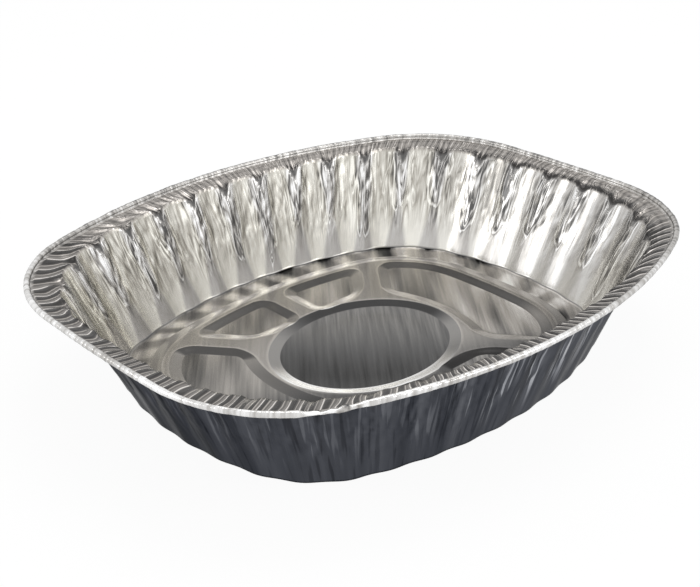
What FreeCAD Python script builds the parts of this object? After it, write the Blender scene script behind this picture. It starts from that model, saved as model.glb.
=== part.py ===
"""Oval foil roasting pan, pressed from one sheet of thin aluminium.

Frame: millimetres, +Z up, X along the length and Y across the width. The origin is at the centre of
the underside of the floor, which is the plane that the pan rests on.

The pan is one sheet: an embossed floor, a fluted wall that flares upwards, a flange that slopes up and
outwards from the top of the wall, and a rolled edge that stands above the flange.
"""

import FreeCAD, Part
import math
import os

from FreeCAD import Placement, Rotation, Vector

SIZES = {
    # overall size over the rolled edge, and the three radii of its outline
    "rim_length": 460.0,
    "rim_width": 367.5,
    "pan_height": 87.0,
    "rim_long_radius": 431.0,
    "rim_short_radius": 1262.0,
    "rim_corner_radius": 106.7,
    # the sheet, drawn thicker than real foil so that it stays a closed solid
    "sheet_gauge": 0.35,
    # rolled edge: outer radius of the roll, where the sheet enters it, and the slit left in it
    "roll_radius": 2.4,
    "roll_entry_angle": 30.0,
    "roll_slit_angle": 40.0,
    # flange: a level lip beside the roll, then a slope down to the top of the wall
    "lip_width": 2.5,
    "flange_end_width": 18.7,
    "flange_side_width": 17.3,
    "flange_drop": 2.0,
    # top of the wall: radii of its outline
    "top_long_radius": 412.0,
    "top_short_radius": 905.0,
    "top_corner_radius": 120.0,
    # wall: how far it runs inwards on its way down, and its flutes
    "wall_run_end": 34.8,
    "wall_run_side": 25.0,
    "flute_count": 36,
    "flute_depth_top": 5.0,
    "flute_depth_foot": 3.0,
    # foot of the wall: radii of its outline, and the rounded step down to the floor
    "foot_long_radius": 334.0,
    "foot_short_radius": 241.0,
    "foot_corner_radius": 79.0,
    "foot_rise": 2.6,
    "foot_step": 2.2,
    # raised web of the floor: flat moat around it, radii of its outline, height and slope
    "moat_end": 20.0,
    "moat_side": 17.8,
    "web_long_radius": 382.0,
    "web_short_radius": 513.0,
    "web_corner_radius": 84.0,
    "web_height": 1.8,
    "web_slope": 9.0,
    "border_width": 5.0,
    "spoke_width": 14.0,
    "spoke_angle": 50.5,
    "spoke_start": 16.8,
    # sunk medallion in the middle
    "medallion_length": 140.6,
    "medallion_width": 109.4,
    "medallion_slope": 6.5,
    # sunk panels between the spokes
    "medallion_to_small_panel": 13.3,
    "medallion_to_side_panel": 20.2,
    "side_panel_corner": 50.0,
    "panel_corner_radius": 6.0,
}


# rounded forms are drawn with this many flats, to keep the solid light: across a flute, round the
# roll's section, along a panel's rounded corner, and along the arcs of a quarter of the rim
FLUTE_FACETS = 6
ROLL_FACETS = 8
ARC_FACETS = 4
END_FACETS = 3
CORNER_FACETS = 14
SIDE_FACETS = 5
# four corners count as lying in one plane within this distance
FLATNESS = 1e-7


def make_sheet(doc):
    """Spreadsheet of the driving sizes: name in column A, number and alias in column B."""
    sheet = doc.addObject("Spreadsheet::Sheet", "sizes")
    for row, (name, value) in enumerate(SIZES.items(), start=1):
        sheet.set(f"A{row}", name)
        sheet.set(f"B{row}", str(value))
        sheet.setAlias(f"B{row}", name)
    doc.recompute()
    return sheet


class Outline:
    """Oval-cornered rectangle with bowed sides: tangent arcs, the same in all four quarters."""

    def __init__(self, half_length, half_width, long_radius, short_radius, corner_radius):
        self.half_length = half_length
        self.half_width = half_width
        self.long_radius = long_radius
        self.short_radius = short_radius
        self.corner_radius = corner_radius
        # centres of the long side's arc, on the Y axis, and of the short side's arc, on the X axis
        self.long_centre = Vector(0, half_width - long_radius, 0)
        self.short_centre = Vector(half_length - short_radius, 0, 0)
        # the corner's centre lies at a known distance from both
        to_long = long_radius - corner_radius
        to_short = short_radius - corner_radius
        between = self.short_centre - self.long_centre
        span = between.Length
        along = (span ** 2 + to_long ** 2 - to_short ** 2) / (2 * span)
        across = math.sqrt(to_long ** 2 - along ** 2)
        unit = between / span
        normal = Vector(unit.y, -unit.x, 0)
        self.corner_centre = self.long_centre + unit * along + normal * across
        to_corner = self.corner_centre - self.short_centre
        self.end_angle = math.atan2(to_corner.y, to_corner.x)
        to_corner = self.corner_centre - self.long_centre
        self.side_angle = math.atan2(to_corner.y, to_corner.x)
        self.quarter_parts = [
            (self.short_centre, short_radius, 0.0, self.end_angle),
            (self.corner_centre, corner_radius, self.end_angle, self.side_angle),
            (self.long_centre, long_radius, self.side_angle, math.pi / 2),
        ]
        self.quarter_length = sum(radius * (end - start) for _, radius, start, end in self.quarter_parts)

    def inset(self, distance):
        """The parallel outline, a distance inside this one."""
        return Outline(
            self.half_length - distance,
            self.half_width - distance,
            self.long_radius - distance,
            self.short_radius - distance,
            self.corner_radius - distance,
        )

    def quarter_point(self, length):
        """Point and outward normal at a length along the first quarter."""
        for centre, radius, start, end in self.quarter_parts:
            part_length = radius * (end - start)
            if length <= part_length + 1e-9:
                angle = start + length / radius
                normal = Vector(math.cos(angle), math.sin(angle), 0)
                return centre + normal * radius, normal
            length -= part_length
        return Vector(0, self.half_width, 0), Vector(0, 1, 0)

    def point(self, share, height, outward=0.0):
        """Point at a share of the whole way round from the +X end, moved outwards."""
        quarters = (share % 1.0) * 4
        number = int(quarters)
        part = quarters - number
        if number % 2 == 1:
            part = 1 - part
        place, normal = self.quarter_point(part * self.quarter_length)
        sign_x = 1 if number in (0, 3) else -1
        sign_y = 1 if number in (0, 1) else -1
        place = place + normal * outward
        return Vector(place.x * sign_x, place.y * sign_y, height)

    def arcs(self, height):
        """The outline's arcs, three for each quarter, from the +X end all the way round."""
        quarter = []
        for centre, radius, start, end in self.quarter_parts:
            ends = [start, (start + end) / 2, end]
            quarter.append([centre + Vector(math.cos(angle), math.sin(angle), 0) * radius for angle in ends])
        arcs = []
        for sign_x, sign_y in ((1, 1), (-1, 1), (-1, -1), (1, -1)):
            turned = [[Vector(p.x * sign_x, p.y * sign_y, height) for p in points] for points in quarter]
            if sign_x * sign_y < 0:
                turned = [points[::-1] for points in turned[::-1]]
            arcs += [Part.Arc(*points).toShape() for points in turned]
        return arcs

    def chords(self, height):
        """Points round the outline, evenly spaced along each of its arcs."""
        quarter = []
        steps_of_parts = (END_FACETS, CORNER_FACETS, SIDE_FACETS)
        for (centre, radius, start, end), steps in zip(self.quarter_parts, steps_of_parts):
            for step in range(steps):
                angle = start + (end - start) * step / steps
                quarter.append(centre + Vector(math.cos(angle), math.sin(angle), 0) * radius)
        quarter.append(Vector(0, self.half_width, 0))
        points = []
        for sign_x, sign_y in ((1, 1), (-1, 1), (-1, -1), (1, -1)):
            turned = [Vector(p.x * sign_x, p.y * sign_y, height) for p in quarter]
            if sign_x * sign_y < 0:
                turned.reverse()
            points += turned[:-1]
        return points

    def lobes(self, count, height, depth):
        """Points round the flutes, each a rounded bulge between two creases that point in."""
        points = []
        for step in range(count * FLUTE_FACETS):
            across = 2 * (step % FLUTE_FACETS) / FLUTE_FACETS - 1
            outward = depth * (0.5 - across ** 2)
            points.append(self.point(step / (count * FLUTE_FACETS), height, outward))
        return points


def polygon(points):
    """Closed wire of straight edges through the points."""
    return Part.makePolygon(points + points[:1])


def flat_ring(outer, inner):
    """Flat face between two closed rings of points."""
    return Part.makeFace([polygon(outer), polygon(inner)], "Part::FaceMakerBullseye").Faces[0]


def flats(corners):
    """One flat face through four corners, or two triangles where they don't lie in one plane."""
    start, following, opposite, last = corners
    normal = (following - start).cross(opposite - start).normalize()
    if abs(normal.dot(last - start)) < FLATNESS:
        return [Part.Face(polygon(corners))]
    return [Part.Face(polygon([start, following, opposite])), Part.Face(polygon([start, opposite, last]))]


def band(first, second):
    """Flat faces between two closed rings of as many points."""
    faces = []
    for number in range(len(first)):
        corners = [first[number - 1], first[number], second[number], second[number - 1]]
        faces += flats(corners)
    return faces


def closed_solid(faces):
    """Solid inside the faces, which meet edge to edge."""
    shell = Part.Shell(faces)
    shell.sewShape()
    solid = Part.Solid(shell)
    if solid.Volume < 0:
        solid.reverse()
    return solid


def solid_feature(doc, name, shape):
    """A document object that holds a shape made by Part's own functions."""
    feature = doc.addObject("Part::Feature", name)
    feature.Shape = shape
    feature.Placement = Placement(Vector(0, 0, 0), Rotation())
    return feature


def bind(feature, bindings):
    """Tie properties of an object to cells of the spreadsheet."""
    for name, expression in bindings.items():
        feature.setExpression(name, expression)


def pan_outlines(size):
    """Outlines of the rim, the top and the foot of the wall, and the web of the floor."""
    rim = Outline(
        size.rim_length / 2,
        size.rim_width / 2,
        size.rim_long_radius,
        size.rim_short_radius,
        size.rim_corner_radius,
    )
    top = Outline(
        rim.half_length - size.flange_end_width,
        rim.half_width - size.flange_side_width,
        size.top_long_radius,
        size.top_short_radius,
        size.top_corner_radius,
    )
    foot = Outline(
        top.half_length - size.wall_run_end,
        top.half_width - size.wall_run_side,
        size.foot_long_radius,
        size.foot_short_radius,
        size.foot_corner_radius,
    )
    web = Outline(
        foot.half_length - size.moat_end,
        foot.half_width - size.moat_side,
        size.web_long_radius,
        size.web_short_radius,
        size.web_corner_radius,
    )
    return rim, top, foot, web


def wall_skin(size, outlines, inset, floor_height, lip_height):
    """One skin of the foot step, the wall and the flange, and its first and last ring of points."""
    rim, top, foot, _ = outlines
    count = round(size.flute_count)
    entry = math.radians(size.roll_entry_angle)
    lip_inset = size.roll_radius * (1 + math.cos(entry)) + size.lip_width
    rings = [
        foot.inset(inset + size.foot_step).lobes(count, floor_height, size.flute_depth_foot),
        foot.inset(inset).lobes(count, size.foot_rise + floor_height / 2, size.flute_depth_foot),
        top.inset(inset).lobes(count, lip_height - size.flange_drop, size.flute_depth_top),
        rim.inset(lip_inset).lobes(count, lip_height, 0.0),
    ]
    faces = []
    for lower, upper in zip(rings, rings[1:]):
        faces += band(lower, upper)
    return faces, rings[0], rings[-1]


def roll_rings(size, rim, radius, angles):
    """Rings of points round the rim, one for each angle about the middle of the roll."""
    middle_height = size.pan_height - size.roll_radius
    return [
        rim.inset(size.roll_radius - radius * math.cos(angle)).chords(middle_height + radius * math.sin(angle))
        for angle in angles
    ]


def bowl(size, outlines):
    """Wall, flange and rolled edge, with the flat moat at the foot of the wall."""
    rim, _, _, web = outlines
    gauge = size.sheet_gauge
    outer = size.roll_radius
    inner = outer - gauge
    entry = math.radians(size.roll_entry_angle)

    # the roll goes up from the lip, over the top, down outside and in again underneath
    turn = 2 * math.pi - math.radians(size.roll_slit_angle)
    outer_angles = [math.pi + entry - turn * step / ROLL_FACETS for step in range(ROLL_FACETS + 1)]
    inner_start = math.pi + math.asin((outer * math.sin(entry) + gauge) / inner)
    inner_angles = [inner_start] + outer_angles[1:]
    outer_rings = roll_rings(size, rim, outer, outer_angles)
    inner_rings = roll_rings(size, rim, inner, inner_angles)
    rings = outer_rings + inner_rings[::-1]
    faces = []
    for first, second in zip(rings, rings[1:]):
        faces += band(first, second)

    # the two skins: the underside joins the inside of the roll, the upper side joins its outside
    upper_lip = size.pan_height - outer - outer * math.sin(entry)
    for inset, floor_height, lip_height, roll_ring in (
        (0.0, 0.0, upper_lip - gauge, inner_rings[0]),
        (gauge, gauge, upper_lip, outer_rings[0]),
    ):
        skin, first_ring, last_ring = wall_skin(size, outlines, inset, floor_height, lip_height)
        faces += skin
        faces.append(flat_ring(first_ring, web.chords(floor_height)))
        faces.append(flat_ring(roll_ring, last_ring))
    faces += band(web.chords(0.0), web.chords(gauge))
    return closed_solid(faces)


def faceted(wire):
    """Points along a wire whose rounded corners and curved sides are drawn with chords."""
    points = []
    for edge in wire.OrderedEdges:
        steps = 1 if isinstance(edge.Curve, Part.Line) else ARC_FACETS
        along = edge.discretize(steps + 1)
        if edge.Orientation == "Reversed":
            along = along[::-1]
        points += along[:-1]
    return points


def tapered_panel(size, floor):
    """A panel's hollow: its floor with rounded corners, and sides that slope out to the web's top."""
    radius = size.panel_corner_radius
    core = floor.OuterWire.makeOffset2D(-radius)
    lower = faceted(core.makeOffset2D(radius))
    upper = faceted(core.makeOffset2D(radius + size.web_slope))
    upper = [point + Vector(0, 0, size.web_height) for point in upper]
    return closed_solid(band(lower, upper) + [Part.Face(polygon(lower)), Part.Face(polygon(upper))])


def web_panels(size, web):
    """The six hollows between the spokes of the web: four small ones, and one at each end."""
    half_spoke = size.spoke_width / 2 + size.web_slope
    angle = math.radians(size.spoke_angle)
    along = Vector(math.cos(angle), math.sin(angle), 0)
    across = Vector(-math.sin(angle), math.cos(angle), 0)
    far = along * size.rim_length
    border = 2 * size.web_slope + size.border_width
    field = Part.Face(Part.Wire(web.inset(border).arcs(0.0)))

    def on_spoke_edge(side, y):
        start = Vector(size.spoke_start, 0, 0) + across * (side * half_spoke)
        return start + along * ((y - start.y) / along.y)

    small_y = size.medallion_width / 2 + size.medallion_to_small_panel
    small_corner = on_spoke_edge(1, small_y)
    small = Part.Face(polygon([
        Vector(half_spoke, small_y, 0),
        small_corner,
        small_corner + far,
        Vector(half_spoke, small_corner.y + far.y, 0),
    ]))

    side_corner = on_spoke_edge(-1, size.side_panel_corner)
    side_far = side_corner + far
    mirrored_corner = Vector(side_corner.x, -side_corner.y, 0)
    mirrored_far = Vector(side_far.x, -side_far.y, 0)
    side_start = Vector(size.medallion_length / 2 + size.medallion_to_side_panel, 0, 0)
    side = Part.Face(Part.Wire([
        Part.makeLine(side_corner, side_far),
        Part.makeLine(side_far, mirrored_far),
        Part.makeLine(mirrored_far, mirrored_corner),
        Part.Arc(mirrored_corner, side_start, side_corner).toShape(),
    ]))

    small_panel = tapered_panel(size, small.common(field).Faces[0])
    side_panel = tapered_panel(size, side.common(field).Faces[0])
    panels = []
    for turned in (small_panel, small_panel.mirror(Vector(), Vector(0, 1, 0)), side_panel):
        panels += [turned, turned.mirror(Vector(), Vector(1, 0, 0))]
    return panels


def build_medallion(doc):
    """Sunk oval in the middle of the floor, its sides sloping up to the web."""
    floor = doc.addObject("Part::Ellipse", "medallion_floor")
    bind(floor, {
        "MajorRadius": "sizes.medallion_length / 2",
        "MinorRadius": "sizes.medallion_width / 2",
    })
    brim = doc.addObject("Part::Ellipse", "medallion_brim")
    bind(brim, {
        "MajorRadius": "sizes.medallion_length / 2 + sizes.medallion_slope",
        "MinorRadius": "sizes.medallion_width / 2 + sizes.medallion_slope",
        "Placement.Base.z": "sizes.web_height",
    })
    medallion = doc.addObject("Part::Loft", "medallion")
    medallion.Sections = [floor, brim]
    medallion.Solid = True
    medallion.Ruled = True
    return medallion


def build_web(doc, size, web):
    """Raised web of the floor: a low plateau with the medallion and the panels sunk into it."""
    foot_ring = web.chords(0.0)
    top_ring = web.inset(size.web_slope).chords(size.web_height)
    sides = band(foot_ring, top_ring)
    ends = [Part.Face(polygon(foot_ring)), Part.Face(polygon(top_ring))]
    plateau = solid_feature(doc, "plateau", closed_solid(sides + ends))
    hollows = doc.addObject("Part::MultiFuse", "hollows")
    hollows.Shapes = [build_medallion(doc)] + [
        solid_feature(doc, f"panel_{number}", panel)
        for number, panel in enumerate(web_panels(size, web), start=1)
    ]
    web_form = doc.addObject("Part::Cut", "web")
    web_form.Base = plateau
    web_form.Tool = hollows
    doc.recompute()
    return web_form


def build_floor(doc, size, web):
    """Embossed floor inside the moat: a plate with the web pressed up through it."""
    web_form = build_web(doc, size, web)
    plate_outline = solid_feature(doc, "plate_outline", polygon(web.chords(0.0)))
    plate = doc.addObject("Part::Extrusion", "floor_plate")
    plate.Base = plate_outline
    plate.DirMode = "Custom"
    plate.Dir = Vector(0, 0, 1)
    plate.Solid = True
    bind(plate, {"LengthFwd": "sizes.sheet_gauge"})
    raised = solid_feature(doc, "web_raised", web_form.Shape.copy())
    bind(raised, {"Placement.Base.z": "sizes.sheet_gauge"})
    filled = doc.addObject("Part::Fuse", "floor_filled")
    filled.Base = plate
    filled.Tool = raised
    floor = doc.addObject("Part::Cut", "embossed_floor")
    floor.Base = filled
    floor.Tool = web_form
    return floor


def build_pan(doc, size):
    """The whole pan as one solid."""
    outlines = pan_outlines(size)
    floor = build_floor(doc, size, outlines[-1])
    pan = doc.addObject("Part::Fuse", "foil_pan")
    pan.Base = solid_feature(doc, "bowl", bowl(size, outlines))
    pan.Tool = floor
    pan.Label = "foil_pan"
    doc.recompute()
    return pan


def check_document(doc, nodes):
    """Stop with a message if an object failed or a sub-part isn't a sound solid."""
    for feature in doc.Objects:
        if "Invalid" in feature.State or "Error" in feature.State:
            raise RuntimeError(f"{feature.Name} failed: {feature.State}")
    for node in nodes:
        shape = node.Shape
        if shape.isNull() or not shape.isValid() or len(shape.Solids) != 1:
            raise RuntimeError(f"{node.Label} isn't one valid solid")


def main():
    """Build the document, check it and write each sub-part."""
    doc = FreeCAD.newDocument("foil_roasting_pan")
    size = make_sheet(doc)
    nodes = [build_pan(doc, size)]
    check_document(doc, nodes)
    os.makedirs("parts", exist_ok=True)
    for node in nodes:
        node.Shape.exportStep(f"parts/{node.Label}.step")
        box = node.Shape.BoundBox
        print(node.Label, "volume", round(node.Shape.Volume, 1), "area", round(node.Shape.Area, 1))
        print("box", round(box.XLength, 2), round(box.YLength, 2), round(box.ZLength, 2), "lowest", round(box.ZMin, 4))


main()
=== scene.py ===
"""Oval foil roasting pan: its pressed sheet in full detail, the foil's metal with its painted light and
shade, and a plain studio.

Frame: +Z up, X along the length and Y across the width, with the origin under the middle of the floor.
Sizes are in millimetres and become metres where a mesh is placed.
"""

import logging
import math
from dataclasses import astuple, dataclass, field
from enum import Enum
from typing import Any, Callable, Optional, Union

import bmesh
import bpy
import numpy as np
from mathutils import Matrix, Vector


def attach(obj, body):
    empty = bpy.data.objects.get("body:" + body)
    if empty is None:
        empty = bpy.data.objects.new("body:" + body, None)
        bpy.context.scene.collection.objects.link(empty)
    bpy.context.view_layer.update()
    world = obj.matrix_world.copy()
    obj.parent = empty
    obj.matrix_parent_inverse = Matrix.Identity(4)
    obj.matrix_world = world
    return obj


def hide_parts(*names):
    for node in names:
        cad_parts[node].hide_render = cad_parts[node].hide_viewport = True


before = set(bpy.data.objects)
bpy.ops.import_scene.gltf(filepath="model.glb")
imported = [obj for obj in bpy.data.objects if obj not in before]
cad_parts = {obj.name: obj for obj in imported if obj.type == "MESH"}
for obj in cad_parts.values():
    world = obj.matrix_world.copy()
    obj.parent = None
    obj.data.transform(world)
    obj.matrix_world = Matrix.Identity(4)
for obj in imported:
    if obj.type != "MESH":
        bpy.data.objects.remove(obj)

MM = 0.001
NODE = "foil_pan"
WHITE = (1.0, 1.0, 1.0, 1.0)
# keeps a division from failing in the very middle of the floor
TINY = 1e-6
LOG = logging.getLogger("foil_pan")

# level direction from the near corner of the pan to the far one, along which the sheet was rolled
FAR = Vector((0.6909, 0.7229))

Array = np.ndarray
Amount = Union[Array, float]
Number = Union[Array, "Value"]
Input = Union["Value", float, tuple]


def smooth(low: float, high: float, value: Amount) -> Amount:
    """Ease from 0 at low to 1 at high.

    Args:
        low: Where the step starts; it may lie above high, for a falling step.
        high: Where the step ends.
        value: The number to look up, or many.

    Returns:
        The eased share of each number.
    """
    share = np.clip((value - low) / (high - low), 0.0, 1.0)
    return share * share * (3.0 - 2.0 * share)


def mix(first: Amount, second: Amount, share: Amount) -> Amount:
    """Blend two values by a share."""
    return first * (1.0 - share) + second * share


def least(first: Number, *others: Number) -> Number:
    """Smallest of some numbers, which are arrays or values of a finish.

    Args:
        first: One number.
        others: The others.

    Returns:
        The smallest, place by place.
    """
    for other in others:
        if isinstance(first, Value):
            first = first.maths("MINIMUM", first, other)
        else:
            first = np.minimum(first, other)
    return first


def most(first: Number, floor: Union["Value", float]) -> Number:
    """Number, but no less than a floor."""
    return first.maths("MAXIMUM", first, floor) if isinstance(first, Value) else np.maximum(first, floor)


def root(number: Number) -> Number:
    """Square root of an array or of a value of a finish."""
    return number.maths("SQRT", number) if isinstance(number, Value) else np.sqrt(number)


def above(number: Number) -> Number:
    """1 where a number is above 0, and 0 elsewhere."""
    return number.maths("GREATER_THAN", number, 0.0) if isinstance(number, Value) else (number > 0.0) * 1.0


@dataclass(frozen=True)
class Crumple:
    """Seeded smooth noise over the sheet that closes on itself round the pan.

    Attributes:
        columns: Cells round the pan.
        rows: Cells from the top of a zone to its bottom.
        seed: Seed of the random heights.
    """

    columns: int
    rows: int
    seed: int

    def at(self, share: Array, down: Amount) -> Array:
        """Heights from -1 to 1.

        Args:
            share: Share of the way round the pan.
            down: Share of the way down the zone.

        Returns:
            One height for each place.
        """
        lattice = np.random.default_rng(self.seed).uniform(-1.0, 1.0, (self.columns, self.rows + 1))
        around = np.asarray(share, float) % 1.0 * self.columns
        column = np.floor(around).astype(int)
        across = around - column
        across = across * across * (3.0 - 2.0 * across)
        depth = np.clip(down, 0.0, 1.0) * self.rows
        row = np.minimum(np.floor(depth).astype(int), self.rows - 1)
        below = depth - row
        left = column % self.columns
        right = (column + 1) % self.columns
        upper = mix(lattice[left, row], lattice[right, row], across)
        lower = mix(lattice[left, row + 1], lattice[right, row + 1], across)
        return mix(upper, lower, below)

    def folds(self, share: Array, down: Amount) -> Array:
        """Sharp-crested folds from 0 to 1, as crumpled foil has."""
        return 1.0 - np.abs(self.at(share, down))


@dataclass(frozen=True)
class Outline:
    """Oval-cornered rectangle with bowed sides: tangent arcs, the same in all four quarters.

    Attributes:
        half_length: Half its size along X.
        half_width: Half its size along Y.
        long_radius: Radius of the long sides.
        short_radius: Radius of the short sides.
        corner_radius: Radius of the corners.
    """

    half_length: float
    half_width: float
    long_radius: float
    short_radius: float
    corner_radius: float

    def inset(self, distance: float) -> "Outline":
        """The parallel outline, a distance inside this one."""
        return Outline(*(size - distance for size in astuple(self)))

    @property
    def centres(self) -> tuple[Array, Array, Array]:
        """Where the arcs of the first quarter are centred.

        Returns:
            Centres of the short side's, the corner's and the long side's arc.
        """
        long_centre = np.array([0.0, self.half_width - self.long_radius])
        short_centre = np.array([self.half_length - self.short_radius, 0.0])
        to_long = self.long_radius - self.corner_radius
        to_short = self.short_radius - self.corner_radius
        between = short_centre - long_centre
        span = float(np.hypot(*between))
        along = (span ** 2 + to_long ** 2 - to_short ** 2) / (2.0 * span)
        across = math.sqrt(to_long ** 2 - along ** 2)
        unit = between / span
        corner = long_centre + unit * along + np.array([unit[1], -unit[0]]) * across
        return short_centre, corner, long_centre

    @property
    def angles(self) -> tuple[float, float]:
        """Where the corner's arc meets its neighbours.

        Returns:
            Directions from the X axis, at the short side and at the long side.
        """
        short_centre, corner, long_centre = self.centres
        from_short = corner - short_centre
        from_long = corner - long_centre
        return math.atan2(from_short[1], from_short[0]), math.atan2(from_long[1], from_long[0])

    @property
    def length(self) -> float:
        """The whole way round.

        Returns:
            Its length.
        """
        end, side = self.angles
        quarter = self.short_radius * end + self.corner_radius * (side - end)
        return 4.0 * (quarter + self.long_radius * (math.pi / 2.0 - side))

    def place(self, share: Array) -> tuple[Array, Array]:
        """Points and outward normals at shares of the whole way round from the +X end.

        Args:
            share: Shares of the way round, counter-clockwise.

        Returns:
            Two arrays of X and Y: the points, and the unit normals.
        """
        quarters = share % 1.0 * 4.0
        number = np.floor(quarters).astype(int)
        part = quarters - number
        part = np.where(number % 2 == 1, 1.0 - part, part) * self.length / 4.0
        end, side = self.angles
        end_length = self.short_radius * end
        corner_length = self.corner_radius * (side - end)
        zones = [part <= end_length, part <= end_length + corner_length]
        angle = np.select(zones, [
            part / self.short_radius,
            end + (part - end_length) / self.corner_radius,
        ], side + (part - end_length - corner_length) / self.long_radius)
        radius = np.select(zones, [self.short_radius, self.corner_radius], self.long_radius)
        short_centre, corner, long_centre = self.centres
        centre = np.where(zones[0][:, None], short_centre, np.where(zones[1][:, None], corner, long_centre))
        normal = np.stack([np.cos(angle), np.sin(angle)], axis=1)
        right = np.where((number == 0) | (number == 3), 1.0, -1.0)
        sign = np.stack([right, np.where(number < 2, 1.0, -1.0)], axis=1)
        return (centre + normal * radius[:, None]) * sign, normal * sign

    def depth(self, x: Number, y: Number) -> Number:
        """How far inside the outline a point of the first quarter lies, below zero outside.

        Args:
            x: Its distance from the Y axis.
            y: Its distance from the X axis.

        Returns:
            The depth.
        """
        short_centre, corner, long_centre = self.centres
        end, side = self.angles

        def within(centre: Array, radius: float) -> Number:
            """How far inside a circle the point lies.

            Args:
                centre: The circle's centre.
                radius: Its radius.

            Returns:
                The depth, below zero outside.
            """
            across = x - centre[0]
            along = y - centre[1]
            return radius - root(across * across + along * along)

        sides = least(within(short_centre, self.short_radius), within(long_centre, self.long_radius))
        across = x - corner[0]
        along = y - corner[1]
        at_corner = above(along * math.cos(end) - across * math.sin(end))
        at_corner = at_corner * above(across * math.sin(side) - along * math.cos(side))
        return sides + (within(corner, self.corner_radius) - sides) * at_corner


@dataclass(frozen=True)
class PanSizes:
    """Driving sizes of the pan in millimetres.

    They are those of its construction, but for shallower flutes, a wider slope round the medallion and
    rounded corners of the panels.
    """

    rim: Outline = Outline(230.0, 183.75, 431.0, 1262.0, 106.7)
    height: float = 87.0
    gauge: float = 0.35
    roll_radius: float = 2.4
    roll_entry: float = 30.0
    roll_slit: float = 40.0
    lip_width: float = 2.5
    flange_drop: float = 2.0
    top: Outline = Outline(211.3, 166.45, 412.0, 905.0, 120.0)
    flutes: int = 36
    flute_depth_top: float = 3.8
    flute_depth_foot: float = 1.1
    foot: Outline = Outline(176.5, 141.45, 334.0, 241.0, 79.0)
    foot_rise: float = 2.6
    foot_step: float = 2.2
    web: Outline = Outline(156.5, 123.65, 382.0, 513.0, 84.0)
    web_height: float = 1.8
    web_slope: float = 9.0
    border: float = 5.0
    spoke_width: float = 14.0
    spoke_angle: float = 50.5
    spoke_start: float = 16.8
    medallion: tuple[float, float] = (70.3, 54.7)
    medallion_slope: float = 9.0
    small_panel_gap: float = 13.3
    side_panel_gap: float = 20.2
    side_panel_corner: float = 50.0
    panel_corner: float = 5.0
    pole: float = 0.04

    @property
    def lip_inset(self) -> float:
        """From the outside of the roll in to where the flange starts to fall."""
        return self.roll_radius * (1.0 + math.cos(math.radians(self.roll_entry))) + self.lip_width

    @property
    def lip_height(self) -> float:
        """Height of the lip's upper side."""
        return self.height - self.roll_radius * (1.0 + math.sin(math.radians(self.roll_entry)))


@dataclass(frozen=True)
class Emboss:
    """The pressed floor: a raised web of spokes with a medallion and six panels sunk into it.

    Attributes:
        sizes: Driving sizes of the pan.
    """

    sizes: PanSizes = PanSizes()

    def panel_gap(self, edges: list[Number]) -> Number:
        """How far outside a panel with rounded corners a point lies.

        Args:
            edges: For each edge of the panel, how far inside that edge the point lies.

        Returns:
            The distance, below zero inside the panel.
        """
        corner = self.sizes.panel_corner
        inner = [edge - corner for edge in edges]
        outside = [most(0.0 - edge, 0.0) for edge in inner]
        distance = root(sum(gap * gap for gap in outside))
        return distance - most(least(*inner), 0.0) - corner

    def gaps(self, x: Number, y: Number) -> tuple[Number, Number]:
        """How far outside the panels a point of the first quarter lies.

        Args:
            x: Its distance from the Y axis.
            y: Its distance from the X axis.

        Returns:
            The distances from the small panel and from the side panel.
        """
        size = self.sizes
        half_spoke = size.spoke_width / 2.0 + size.web_slope
        angle = math.radians(size.spoke_angle)
        from_spoke = (x - size.spoke_start) * -math.sin(angle) + y * math.cos(angle)
        field_edge = size.web.depth(x, y) - (2.0 * size.web_slope + size.border)
        small = self.panel_gap([
            x - half_spoke,
            y - (size.medallion[1] + size.small_panel_gap),
            from_spoke - half_spoke,
            field_edge,
        ])
        near = size.medallion[0] + size.side_panel_gap
        reach = size.side_panel_corner
        corner = size.spoke_start + half_spoke * math.sin(angle)
        corner += (reach + half_spoke * math.cos(angle)) / math.tan(angle)
        centre = (near ** 2 - corner ** 2 - reach ** 2) / (2.0 * (near - corner))
        across = x - centre
        inner_edge = root(across * across + y * y) - (near - centre)
        side = self.panel_gap([0.0 - from_spoke - half_spoke, inner_edge, field_edge])
        return small, side

    def medallion_level(self, x: Number, y: Number) -> Number:
        """How far up the medallion's slope a point lies.

        Args:
            x: Its distance from the Y axis.
            y: Its distance from the X axis.

        Returns:
            The share of the slope's width.
        """
        first, second = self.sizes.medallion
        reach = root(x * x * (1.0 / first ** 2) + y * y * (1.0 / second ** 2)) + TINY
        radius = root(x * x + y * y)
        return (radius - radius / reach) * (1.0 / self.sizes.medallion_slope)

    def level(self, x: Number, y: Number) -> Number:
        """How far up the nearest slope a point lies: 0 at its bottom, 1 at its top, and beyond both.

        Args:
            x: Its distance from the Y axis.
            y: Its distance from the X axis.

        Returns:
            The share of the slope's width.
        """
        small, side = self.gaps(x, y)
        edge = least(self.sizes.web.depth(x, y), small, side) * (1.0 / self.sizes.web_slope)
        return least(edge, self.medallion_level(x, y))

    def rise(self, place: Array) -> Array:
        """Height of the floor's upper side over the moat's, as a share of the web's height."""
        level = np.clip(self.level(*np.abs(place).T), 0.0, 1.0)
        return mix(level, level * level * (3.0 - 2.0 * level), 0.6)


class Zone(Enum):
    """Zones of the sheet, from the rolled edge down to the middle of the floor."""

    ROLL = "roll"
    FLANGE = "flange"
    WALL = "wall"
    FOOT = "foot"
    MOAT = "moat"
    WEB_SIDE = "web side"
    WEB = "web"
    MEDALLION_SIDE = "medallion side"
    MEDALLION = "medallion"


RINGS = {
    Zone.ROLL: 11,
    Zone.FLANGE: 8,
    Zone.WALL: 27,
    Zone.FOOT: 3,
    Zone.MOAT: 5,
    Zone.WEB_SIDE: 5,
    Zone.WEB: 22,
    Zone.MEDALLION_SIDE: 4,
    Zone.MEDALLION: 5,
}


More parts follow.
